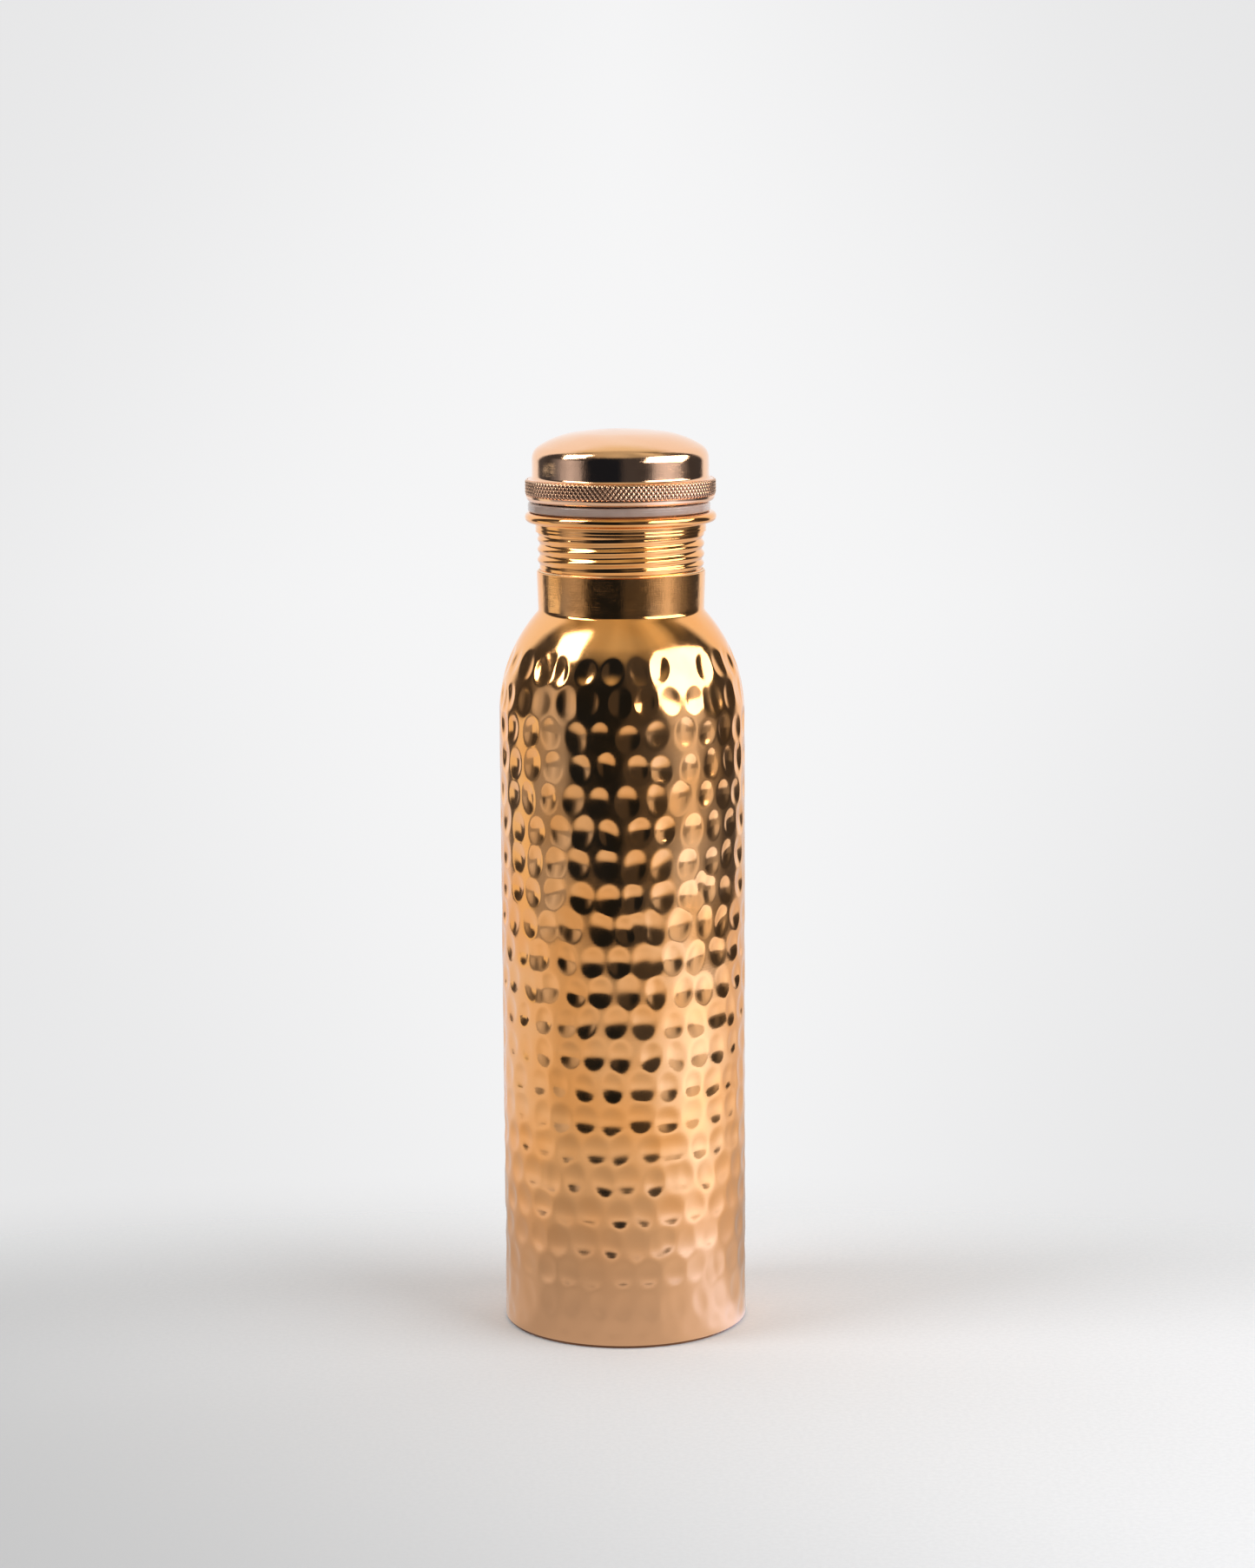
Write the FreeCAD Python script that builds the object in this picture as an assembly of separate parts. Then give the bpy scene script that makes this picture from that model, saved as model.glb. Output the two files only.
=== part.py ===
import FreeCAD, Part

import math
import os

# A hammered copper water bottle with a screw cap. Millimetres, +Z up, and the origin is on the
# bottle's axis, in the plane that it stands on. Profiles are drawn as radius and height.

# Driving dimensions
BODY_RADIUS = 36.5
BODY_SHEET = 0.6
WALL_FOOT = 0.8
SHOULDER_START = 185.2
SHOULDER_RADIUS = 45.0
COLLAR_TOP = 227.5
COLLAR_RADIUS_LOW = 24.6
COLLAR_RADIUS_TOP = 24.95
COLLAR_FILLET = 2.0

BASE_SHEET = 0.7
BASE_RIM_RADIUS = 36.2
CONTACT_INNER = 34.0
DISH_EDGE = 31.0
DISH_HEIGHT = 2.3
DISH_ROUND = 690.0

NECK_SHEET = 0.7
NECK_ROOT_RADIUS = 24.0
SPIGOT_FOOT = 219.5
THROAT_RADIUS = 25.25
LIP_TOP = 245.0
LIP_BEAD_RADIUS = 1.5
LIP_OUTER_RADIUS = 28.3
LIP_FILLET = 0.8
MOUTH_EDGE = 0.7

THREAD_PITCH = 3.07
THREAD_DEPTH = 0.7
THREAD_CLEARANCE = 0.25
THREAD_CREST_HEIGHT = 235.5
NECK_THREAD = (228.2, 239.2)
PLUG_THREAD = (228.6, 238.6)
THREAD_FADE = 1.8

SEAL_THICKNESS = 2.7
SEAL_OUTER_RADIUS = 26.95
SEAL_BORE = 23.65
SEAL_CORNER = 0.6
SEAL_GAP = 0.15
SEAL_OFFSET = -0.45   # along X: the loose seal lies a little off centre

RING_FOOT = 248.2
RING_TOP = 254.7
RING_RADIUS = 28.15
RING_TOP_CORNER = 0.6
RING_BORE = 25.3
RING_LEDGE_BORE = 23.85
RING_LEDGE_TOP = 250.2
RING_LIP_RISE = 1.9
RING_LIP_INSET = 1.3

DOME_SHEET = 0.6
DOME_RADIUS = 26.15
DOME_FOOT = 254.1
DOME_FOOT_FILLET = 1.1
DOME_FOOT_FLAT = 0.15
DOME_TOP = 269.2
CROWN_RADIUS = 99.4
CROWN_EDGE = 13.0
FLANK_RADIUS = 27.8
KNUCKLE_RADIUS = 4.65

PLUG_FLOOR = 226.0
PLUG_SHEET = 0.75
PLUG_FLOOR_CORNER = 1.2
PLUG_FLANGE_RADIUS = 25.27
PLUG_FLANGE_SHEET = 0.7
PLUG_SEAL_GAP = 0.1

BRAZE_GAP = 0.03      # between brazed pieces, which don't touch in the model
SEAT_GAP = 0.05       # between pieces that sit in each other's recesses
EDGE = 0.2            # broken edge on cut sheet
TOUCHING = 1e-6       # points closer than this are one point

# Worked out from the driving dimensions
BODY_BORE = BODY_RADIUS - BODY_SHEET
COLLAR_BORE = COLLAR_RADIUS_LOW - BODY_SHEET
SPIGOT_RADIUS = COLLAR_BORE - BRAZE_GAP
PLUG_ROOT_RADIUS = NECK_ROOT_RADIUS - NECK_SHEET - THREAD_CLEARANCE
LIP_CENTRE = (LIP_OUTER_RADIUS - LIP_BEAD_RADIUS, LIP_TOP - LIP_BEAD_RADIUS)
SEAL_FOOT = LIP_TOP + SEAL_GAP
SEAL_TOP = SEAL_FOOT + SEAL_THICKNESS
PLUG_FLANGE_FOOT = RING_LEDGE_TOP + SEAT_GAP
PLUG_FLANGE_TOP = PLUG_FLANGE_FOOT + PLUG_FLANGE_SHEET
DOME_FOOT_RADIUS = DOME_RADIUS + DOME_FOOT_FILLET + DOME_FOOT_FLAT
DOME_FOOT_CENTRE = (DOME_RADIUS + DOME_FOOT_FILLET, DOME_FOOT + DOME_SHEET + DOME_FOOT_FILLET)
RING_RECESS_FLOOR = DOME_FOOT - SEAT_GAP


class Outline:
    """A chain of lines and arcs in the XZ half-plane, made of (radius, height) points."""

    def __init__(self, start):
        self.start = start
        self.end = start
        self.edges = []

    def line(self, *points):
        for point in points:
            self.edges.append(Part.LineSegment(at(self.end), at(point)).toShape())
            self.end = point
        return self

    def arc(self, centre, radius, degrees_from, degrees_to):
        """Adds an arc, with a line to its first point if the chain isn't there yet."""
        first = on_circle(centre, radius, degrees_from)
        middle = on_circle(centre, radius, (degrees_from + degrees_to) / 2)
        last = on_circle(centre, radius, degrees_to)
        if math.dist(first, self.end) > TOUCHING:
            self.line(first)
        self.edges.append(Part.Arc(at(self.end), at(middle), at(last)).toShape())
        self.end = last
        return self

    def through(self, middle, last):
        """Adds an arc through a middle point."""
        self.edges.append(Part.Arc(at(self.end), at(middle), at(last)).toShape())
        self.end = last
        return self

    def shell(self):
        return Part.Wire(self.edges).revolve(FreeCAD.Vector(), FreeCAD.Vector(0, 0, 1), 360)

    def solid(self):
        if math.dist(self.start, self.end) > TOUCHING:
            self.line(self.start)
        face = Part.Face(Part.Wire(self.edges))
        return face.revolve(FreeCAD.Vector(), FreeCAD.Vector(0, 0, 1), 360)


def at(point):
    return FreeCAD.Vector(point[0], 0, point[1])


def on_circle(centre, radius, degrees):
    """A point of a circle, rounded so that the axis is met exactly."""
    angle = math.radians(degrees)
    across = centre[0] + radius * math.cos(angle)
    up = centre[1] + radius * math.sin(angle)
    return (round(across, 9), round(up, 9))


def smooth(t):
    t = min(1.0, max(0.0, t))
    return t * t * (3 - 2 * t)


def thread_wave(angle, height):
    """0 on a thread's crest and 1 in its root: one start, right-handed."""
    phase = 2 * math.pi * (height - THREAD_CREST_HEIGHT) / THREAD_PITCH - angle
    return 0.5 * (1 - math.cos(phase))


def neck_thread(root_radius):
    """The rolled neck thread: it grows out of the plain tube below and opens into the throat above."""
    low, high = NECK_THREAD

    def radius(angle, height):
        grown = smooth((height - low) / THREAD_FADE)
        kept = smooth((high - height) / THREAD_FADE)
        return root_radius + THREAD_DEPTH * grown * (1 - kept * thread_wave(angle, height))

    return radius


def plug_thread(angle, height):
    """The cap's thread: it rises from the plain shank and runs out into it again."""
    low, high = PLUG_THREAD
    raised = smooth((height - low) / THREAD_FADE) * smooth((high - height) / THREAD_FADE)
    return PLUG_ROOT_RADIUS + THREAD_DEPTH * raised * (1 - thread_wave(angle, height))


def thread_face(radius_at, low, high, turn_points=48, rows=44):
    """A closed spline surface around the axis, whose radius is a function of angle and height.

    It is quintic around the axis, so that its end rings are circles to well within a micrometre,
    and cubic along it.
    """
    step = (high - low) / rows
    knots = [low + step * i for i in range(rows + 1)]
    padded = [low] * 3 + knots + [high] * 3
    heights = [sum(padded[i + 1:i + 4]) / 3 for i in range(rows + 3)]
    turn = 2 * math.pi / turn_points
    # a quintic ring's control points stand this much outside the circle that they make
    spread = 120 / (66 + 52 * math.cos(turn) + 2 * math.cos(2 * turn))
    poles = []
    for i in range(turn_points):
        angle = turn * (i - 2)      # so that the seam is at angle 0, like a revolved face's
        ring = []
        for height in heights:
            reach = spread * radius_at(angle, height)
            ring.append(FreeCAD.Vector(reach * math.cos(angle), reach * math.sin(angle), height))
        poles.append(ring)
    surface = Part.BSplineSurface()
    surface.buildFromPolesMultsKnots(
        poles,
        [1] * (turn_points + 1),
        [4] + [1] * (rows - 1) + [4],
        list(range(turn_points + 1)),
        knots,
        True,
        False,
        5,
        3,
    )
    return surface.toShape()


def sewn_solid(faces):
    shell = Part.makeShell(faces)
    shell.sewShape()
    solid = Part.makeSolid(Part.Shell(shell.Faces))
    if solid.Volume < 0:
        solid.reverse()
    return solid


# Bottle


def shoulder_centre():
    return (BODY_RADIUS - SHOULDER_RADIUS, SHOULDER_START)


def collar_fillet_centre():
    """The fillet touches the shoulder's arc from outside and the collar's wall."""
    across = COLLAR_RADIUS_LOW + COLLAR_FILLET
    centre = shoulder_centre()
    up = math.sqrt((SHOULDER_RADIUS + COLLAR_FILLET) ** 2 - (across - centre[0]) ** 2)
    return (across, centre[1] + up)


def body_shell():
    """Seamless wall, shoulder and plain collar, drawn in one piece and open at the foot."""
    shoulder = shoulder_centre()
    fillet = collar_fillet_centre()
    meet = math.degrees(math.atan2(fillet[1] - shoulder[1], fillet[0] - shoulder[0]))
    outline = Outline((BODY_BORE, WALL_FOOT))
    outline.line((BODY_RADIUS - EDGE, WALL_FOOT), (BODY_RADIUS, WALL_FOOT + EDGE))
    outline.line((BODY_RADIUS, SHOULDER_START))
    outline.arc(shoulder, SHOULDER_RADIUS, 0, meet)
    outline.arc(fillet, COLLAR_FILLET, meet + 180, 180)
    outline.line((COLLAR_RADIUS_TOP, COLLAR_TOP - EDGE), (COLLAR_RADIUS_TOP - EDGE, COLLAR_TOP))
    outline.line((COLLAR_BORE, COLLAR_TOP))
    outline.arc(fillet, COLLAR_FILLET + BODY_SHEET, 180, meet + 180)
    outline.arc(shoulder, SHOULDER_RADIUS - BODY_SHEET, meet, 0)
    return outline.solid()


def base_plate():
    """Dished plate with a flat standing ring and a rim turned out under the wall."""
    contact_outer = BASE_RIM_RADIUS - BASE_SHEET
    run = CONTACT_INNER - DISH_EDGE
    # the dish's flank is this much further out on top than underneath
    flank = BASE_SHEET * (math.hypot(run, DISH_HEIGHT) - run) / DISH_HEIGHT
    edge_turn = math.degrees(math.acos(DISH_EDGE / DISH_ROUND))
    centre = (0, DISH_HEIGHT - math.sqrt(DISH_ROUND ** 2 - DISH_EDGE ** 2))
    upper_round = math.hypot(DISH_EDGE + flank, DISH_HEIGHT + BASE_SHEET - centre[1])
    upper_turn = math.degrees(math.acos((DISH_EDGE + flank) / upper_round))
    outline = Outline((0, centre[1] + DISH_ROUND))
    outline.arc(centre, DISH_ROUND, 90, edge_turn)
    outline.line((CONTACT_INNER, 0))
    outline.arc((contact_outer, BASE_SHEET), BASE_SHEET, -90, 0)
    outline.line((CONTACT_INNER + flank, BASE_SHEET))
    outline.arc(centre, upper_round, upper_turn, 90)
    return outline.solid()


def base_braze_ring():
    """Filler in the corner between the base plate's rim and the inside of the wall."""
    leg = 1.0
    outer = BODY_BORE - BRAZE_GAP
    foot = BASE_SHEET + BRAZE_GAP
    outline = Outline((outer, foot))
    outline.arc((outer - leg, foot + leg), leg, 0, -90)
    return outline.solid()


def neck_ferrule():
    """Rolled lip, rolled thread and a spigot that laps inside the collar, in one sheet."""
    low, high = NECK_THREAD
    bore = NECK_ROOT_RADIUS - NECK_SHEET
    below = Outline((NECK_ROOT_RADIUS, low))
    below.line((SPIGOT_RADIUS, low - EDGE), (SPIGOT_RADIUS, SPIGOT_FOOT + EDGE))
    below.line((SPIGOT_RADIUS - EDGE, SPIGOT_FOOT), (bore, SPIGOT_FOOT), (bore, low))

    across = LIP_CENTRE[0] - (THROAT_RADIUS + LIP_FILLET)
    drop = math.sqrt((LIP_BEAD_RADIUS + LIP_FILLET) ** 2 - across ** 2)
    fillet = (THROAT_RADIUS + LIP_FILLET, LIP_CENTRE[1] - drop)
    meet = math.degrees(math.atan2(drop, across))
    mouth = THROAT_RADIUS - NECK_SHEET
    above = Outline((NECK_ROOT_RADIUS + THREAD_DEPTH, high))
    above.arc(fillet, LIP_FILLET, 180, meet)
    above.arc(LIP_CENTRE, LIP_BEAD_RADIUS, meet - 180, 90)
    above.arc((mouth + MOUTH_EDGE, LIP_TOP - MOUTH_EDGE), MOUTH_EDGE, 90, 180)
    above.line((mouth, fillet[1]), (bore + THREAD_DEPTH, high))

    faces = below.shell().Faces + above.shell().Faces
    faces.append(thread_face(neck_thread(NECK_ROOT_RADIUS), low, high))
    faces.append(thread_face(neck_thread(bore), low, high))
    return sewn_solid(faces)


def neck_braze_ring():
    """Filler bead on the collar's rim, around the foot of the ferrule."""
    height = 0.55
    fullness = 0.7      # of the way from the rim's edge to the bead's square corner
    inner = NECK_ROOT_RADIUS + BRAZE_GAP
    foot = COLLAR_TOP + BRAZE_GAP
    outer = COLLAR_RADIUS_TOP - EDGE
    outline = Outline((inner, foot))
    outline.line((outer, foot))
    middle = (inner + fullness * (outer - inner), foot + fullness * height)
    outline.through(middle, (inner, foot + height))
    return outline.solid()


# Seal


def seal_ring():
    """Silicone washer around the plug's shank, between the lip and the grip ring."""
    corner_centre = SEAL_OUTER_RADIUS - SEAL_CORNER
    outline = Outline((SEAL_BORE, SEAL_FOOT))
    outline.arc((corner_centre, SEAL_FOOT + SEAL_CORNER), SEAL_CORNER, -90, 0)
    outline.arc((corner_centre, SEAL_TOP - SEAL_CORNER), SEAL_CORNER, 0, 90)
    outline.line((SEAL_BORE, SEAL_TOP))
    solid = outline.solid()
    solid.translate(FreeCAD.Vector(SEAL_OFFSET, 0, 0))
    return solid


# Cap


def cap_grip_ring():
    """Heavy ring that the hand turns: a rounded lower lip, the grip band and a recess for the dome."""
    lip_reach = RING_RADIUS - EDGE
    lip_middle = (lip_reach - 0.3 * RING_LIP_INSET, RING_FOOT + 0.35 * RING_LIP_RISE)
    band_foot = RING_FOOT + RING_LIP_RISE
    recess = DOME_FOOT_RADIUS + SEAT_GAP
    outline = Outline((RING_LEDGE_BORE, RING_FOOT))
    outline.line((lip_reach - RING_LIP_INSET, RING_FOOT))
    outline.through(lip_middle, (lip_reach, band_foot))
    outline.line((RING_RADIUS, band_foot))
    outline.arc((RING_RADIUS - RING_TOP_CORNER, RING_TOP - RING_TOP_CORNER), RING_TOP_CORNER, 0, 90)
    outline.line((recess, RING_TOP), (recess, RING_RECESS_FLOOR), (RING_BORE, RING_RECESS_FLOOR))
    outline.line((RING_BORE, RING_LEDGE_TOP), (RING_LEDGE_BORE, RING_LEDGE_TOP))
    return outline.solid()


def dome_arcs():
    """Centres and meeting angles of the dome's three arcs: crown, flank and knuckle."""
    crown = (0, DOME_TOP - CROWN_RADIUS)
    crown_ends = math.degrees(math.acos(CROWN_EDGE / CROWN_RADIUS))
    flank = on_circle(crown, CROWN_RADIUS - FLANK_RADIUS, crown_ends)
    across = DOME_RADIUS - KNUCKLE_RADIUS - flank[0]
    flank_ends = math.degrees(math.acos(across / (FLANK_RADIUS - KNUCKLE_RADIUS)))
    knuckle = on_circle(flank, FLANK_RADIUS - KNUCKLE_RADIUS, flank_ends)
    return crown, crown_ends, flank, flank_ends, knuckle


def cap_dome():
    """Spun cover with a small flared foot that sits in the grip ring's recess."""
    crown, crown_ends, flank, flank_ends, knuckle = dome_arcs()
    outline = Outline((DOME_FOOT_RADIUS, DOME_FOOT))
    outline.line((DOME_FOOT_RADIUS, DOME_FOOT + DOME_SHEET))
    outline.arc(DOME_FOOT_CENTRE, DOME_FOOT_FILLET, 270, 180)
    outline.arc(knuckle, KNUCKLE_RADIUS, 0, flank_ends)
    outline.arc(flank, FLANK_RADIUS, flank_ends, crown_ends)
    outline.arc(crown, CROWN_RADIUS, crown_ends, 90)
    outline.line((0, DOME_TOP - DOME_SHEET))
    outline.arc(crown, CROWN_RADIUS - DOME_SHEET, 90, crown_ends)
    outline.arc(flank, FLANK_RADIUS - DOME_SHEET, crown_ends, flank_ends)
    outline.arc(knuckle, KNUCKLE_RADIUS - DOME_SHEET, flank_ends, 0)
    outline.arc(DOME_FOOT_CENTRE, DOME_FOOT_FILLET + DOME_SHEET, 180, 270)
    return outline.solid()


def cap_plug():
    """Deep drawn cup with the cap's thread and a flange that hangs on the grip ring's ledge."""
    low, high = PLUG_THREAD
    bore = PLUG_ROOT_RADIUS - PLUG_SHEET
    corner_foot = PLUG_FLOOR + PLUG_FLOOR_CORNER
    inner_corner = PLUG_FLOOR_CORNER - PLUG_SHEET
    step_radius = RING_LEDGE_BORE - SEAT_GAP
    step_foot = SEAL_TOP + PLUG_SEAL_GAP
    step_rise = step_radius - PLUG_ROOT_RADIUS
    below = Outline((PLUG_ROOT_RADIUS, low))
    below.arc((PLUG_ROOT_RADIUS - PLUG_FLOOR_CORNER, corner_foot), PLUG_FLOOR_CORNER, 0, -90)
    below.line((0, PLUG_FLOOR), (0, PLUG_FLOOR + PLUG_SHEET))
    below.arc((bore - inner_corner, corner_foot), inner_corner, -90, 0)
    below.line((bore, PLUG_FLANGE_TOP), (PLUG_FLANGE_RADIUS, PLUG_FLANGE_TOP))
    below.line((PLUG_FLANGE_RADIUS, PLUG_FLANGE_FOOT), (step_radius, PLUG_FLANGE_FOOT))
    below.line((step_radius, step_foot + step_rise), (PLUG_ROOT_RADIUS, step_foot))
    below.line((PLUG_ROOT_RADIUS, high))
    # the floor's short edge on the axis makes no face
    faces = [face for face in below.shell().Faces if face.Area > TOUCHING]
    faces.append(thread_face(plug_thread, low, high))
    return sewn_solid(faces)


def plug_braze_ring():
    """Filler in the corner between the plug's flange and the grip ring's bore."""
    leg = 0.7
    outer = RING_BORE - BRAZE_GAP
    foot = PLUG_FLANGE_TOP + BRAZE_GAP
    outline = Outline((outer, foot))
    outline.arc((outer - leg, foot + leg), leg, 0, -90)
    return outline.solid()


def dome_braze_ring():
    """Filler under the dome's flared foot, on the floor of the grip ring's recess."""
    under = DOME_FOOT_FILLET + DOME_SHEET + BRAZE_GAP
    first_degrees = 258
    last_degrees = 200
    inner = RING_BORE + SEAT_GAP
    outline = Outline((inner, RING_RECESS_FLOOR + BRAZE_GAP))
    outline.arc(DOME_FOOT_CENTRE, under, first_degrees, last_degrees)
    outline.line((inner, outline.end[1]))
    return outline.solid()


PIECES = [
    body_shell,
    base_plate,
    base_braze_ring,
    neck_ferrule,
    neck_braze_ring,
    seal_ring,
    cap_grip_ring,
    cap_dome,
    cap_plug,
    plug_braze_ring,
    dome_braze_ring,
]

os.makedirs("parts", exist_ok=True)
for piece in PIECES:
    solid = piece()
    if not solid.isValid() or solid.ShapeType != "Solid":
        raise SystemExit(piece.__name__ + " is not one valid solid")
    solid.exportStep("parts/" + piece.__name__ + ".step")
    print(piece.__name__, round(solid.Volume / 1000, 3), "cm3")
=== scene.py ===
import math

import bpy
import numpy as np
from mathutils import Matrix, Vector


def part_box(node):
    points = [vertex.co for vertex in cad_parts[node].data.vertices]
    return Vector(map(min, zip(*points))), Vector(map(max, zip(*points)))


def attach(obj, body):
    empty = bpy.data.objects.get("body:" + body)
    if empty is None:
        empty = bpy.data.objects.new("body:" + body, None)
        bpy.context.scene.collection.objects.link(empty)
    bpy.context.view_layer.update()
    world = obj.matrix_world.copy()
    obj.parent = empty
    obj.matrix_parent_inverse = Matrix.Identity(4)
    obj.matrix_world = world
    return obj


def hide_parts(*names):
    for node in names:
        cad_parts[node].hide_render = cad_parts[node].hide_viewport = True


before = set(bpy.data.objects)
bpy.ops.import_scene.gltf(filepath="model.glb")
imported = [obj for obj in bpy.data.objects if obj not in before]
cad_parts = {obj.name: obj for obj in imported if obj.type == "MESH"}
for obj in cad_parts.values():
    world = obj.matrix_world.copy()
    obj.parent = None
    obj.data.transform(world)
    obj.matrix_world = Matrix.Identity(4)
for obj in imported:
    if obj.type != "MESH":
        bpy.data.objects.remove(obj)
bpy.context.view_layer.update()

# A hammered copper water bottle with a screw cap. The bottle's sizes are millimetres, in the frame
# of the CAD model, and MM turns them into Blender's metres. Outlines are (radius, height) points.
# The studio is in metres and degrees.
MM = 0.001
TURN = 2 * math.pi


def low_high(node):
    """A CAD node's lowest and highest corners, in millimetres."""
    low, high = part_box(node)
    return low / MM, high / MM


def colour(red, green, blue):
    return (red, green, blue, 1.0)


BODY_LOW, BODY_HIGH = low_high("body_shell")
NECK_LOW, NECK_HIGH = low_high("neck_ferrule")
BRAZE_LOW, BRAZE_HIGH = low_high("neck_braze_ring")
SEAL_LOW, SEAL_HIGH = low_high("seal_ring")
RING_LOW, RING_HIGH = low_high("cap_grip_ring")
DOME_LOW, DOME_HIGH = low_high("cap_dome")
PLUG_LOW, PLUG_HIGH = low_high("cap_plug")

EDGE = 0.2                   # broken edge on cut sheet
BRAZE_GAP = 0.03             # between brazed pieces
SEAT_GAP = 0.05              # between the dome and the ring's recess

BODY_RADIUS = BODY_HIGH.x
BODY_SHEET = 0.6
SHOULDER_START = 185.2
SHOULDER_RADIUS = 45.0
COLLAR_TOP = BODY_HIGH.z
COLLAR_RADIUS_LOW = 24.6
COLLAR_RADIUS_TOP = 24.95
COLLAR_FILLET = 2.0

# Hammer marks. Their lengths run along the body's outline, from the foot up the wall and shoulder.
DENT_ROWS = 22
DENTS_AROUND = 28
DENT_ROW_PITCH = 9.45
DENT_TOP_ROW = 200.8
DENTED_TOP = DENT_TOP_ROW + 7   # the shoulder is plain above
DENT_STRAY = 0.1             # sideways, as a share of the spacing
DENT_LIFT = 0.8
DENT_DEPTHS = (0.46, 0.68)
DENT_HALF_WIDTHS = (3.3, 4.2)
DENT_HALF_HEIGHTS = (3.8, 4.9)
DENT_TILT = 0.3              # radians
DENT_REACH = 1.6             # half heights over which a dent is worked out
DENT_SOFTNESS = 0.065        # how far a dent's rim is rounded, as a depth
SECOND_STRIKE_CHANCE = 0.10
SECOND_STRIKE_ASIDE = (2.0, 3.4)
SECOND_STRIKE_LIFT = 1.5
SECOND_STRIKE_SHARE = 0.8    # of the first strike's depth
WALL_UNEVENNESS = 0.06
PLAIN_FOOT = 0.5             # no dents below it; they grow in over PLAIN_FOOT_FADE
PLAIN_FOOT_FADE = 5.0
DENTED_TOP_FADE = 3.0

NECK_ROOT_RADIUS = 24.0
NECK_SHEET = 0.7
NECK_THREAD = (228.2, 239.2)
THROAT_RADIUS = 25.25
THROAT_RIPPLE = 0.07         # depth of the rings that the rolling left below the lip
THROAT_RIPPLES = 2
LIP_BEAD_RADIUS = 1.5
LIP_FILLET = 0.8
MOUTH_EDGE = 0.7
THREAD_PITCH = 3.07
THREAD_DEPTH = 0.7
THREAD_CREST_HEIGHT = 235.5
THREAD_FADE = 1.8

SEAL_OUTER_RADIUS = (SEAL_HIGH.x - SEAL_LOW.x) / 2
SEAL_OFFSET = (SEAL_HIGH.x + SEAL_LOW.x) / 2
SEAL_BORE = 23.65
SEAL_CORNER = 0.6
SEAL_BULGE = 0.05
MOULD_LINE = 0.07            # half its height

RING_RADIUS = RING_HIGH.x
RING_LIP_RISE = 1.9
RING_LIP_INSET = 1.3
RING_LIP_LAND = 0.1          # flat strip between lip and grip band
RING_RELIEF = 0.25           # depth of the step there
RING_STEP_ROWS = (0.03, 0.04)  # rows of points this far below and above it keep it crisp
RING_TOP_CORNER = 0.6
RING_BORE = 25.3
RING_LEDGE_BORE = 23.85
RING_LEDGE_TOP = 250.2
KNURLS = 120                 # diamonds around the grip band
KNURL_STEPS = 8              # mesh steps per diamond, both ways
KNURL_HEIGHT = 1.86          # of one diamond
KNURL_DEPTH = 0.34
KNURL_CROSS_DEPTH = 0.26
KNURL_END_HEIGHT = 0.8       # the wheel rounds the band's top and bottom
KNURL_END_DEPTH = 0.3
KNURL_CORNER_REACH = 0.45    # the cut dies away this far in over the top corner

DOME_SHEET = 0.6
DOME_RADIUS = 26.15
DOME_FOOT_FILLET = 1.1
DOME_FOOT_FLAT = 0.15
CROWN_RADIUS = 99.4
CROWN_EDGE = 13.0
FLANK_RADIUS = 27.8
KNUCKLE_RADIUS = 4.65
DOME_UNEVENNESS = 0.03       # left by the hand polishing

PLUG_THREAD = (228.6, 238.6)
PLUG_ROOT_RADIUS = 23.05
PLUG_SHEET = 0.75
PLUG_FLOOR_CORNER = 1.2
PLUG_STEP_FOOT = SEAL_HIGH.z + 0.1
PLUG_STEP_RADIUS = 23.8
PLUG_FLANGE_FOOT = 250.25

# Mesh columns around each piece and, where they differ along it, rows
AROUND_BODY = 312            # outside; the inside has half as many
BODY_ROWS_LOW = 88           # up to BODY_ROWS_CHANGE, and closer together above
BODY_ROWS_HIGH = 160
BODY_ROWS_INSIDE = 82
BODY_ROWS_CHANGE = 90.0
AROUND_NECK = 256
NECK_THREAD_ROWS = 56
NECK_THREAD_ROWS_INSIDE = 36
AROUND_SEAL = 192
AROUND_DOME = 256
PLUG_THREAD_ROWS = 50

# Materials. Colours are linear, and a pair of them holds the two tones of a patchy surface.
# Scales of noise are per metre. Those of lines are around the piece and along it.
PATCH_SCALE = 38.0
SMEAR_SCALE = 160.0
GRAIN_SCALE = 2400.0
LINES_AROUND = (60.0, 5200.0)
LINES_ALONG = (2400.0, 240.0)
GOLDEN = (colour(0.98, 0.44, 0.135), colour(0.97, 0.49, 0.19))
ROSE = (colour(0.96, 0.56, 0.33), colour(0.96, 0.60, 0.38))
# dark brown tones of the base plate: painted contact shadow, the thin dark line where the bottle meets the
# table
CONTACT_SHADOW_TONES = (colour(0.20, 0.085, 0.04), colour(0.27, 0.12, 0.06))
FILLER = (colour(0.90, 0.56, 0.27), colour(0.88, 0.60, 0.34))
# silicone tones: partly the seal's own slight pink, partly painted reflection of the copper around it
MILKY = (colour(0.42, 0.31, 0.26), colour(0.46, 0.345, 0.29))
# pink tone near the foot: painted reflection of the shaded table close to the foot
FOOT_REFLECTION_PINK = colour(0.92, 0.51, 0.27)
GROOVE_BROWN = colour(0.16, 0.06, 0.035)
FOOT_FADE = (0.065, 0.003)   # the painted reflection at the foot fades out between these heights, in metres
BRUSHED_DEPTH = 10.0         # how many times deeper the polishing lines are on the collar
BRUSHED_FADE = 0.002         # metres

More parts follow.
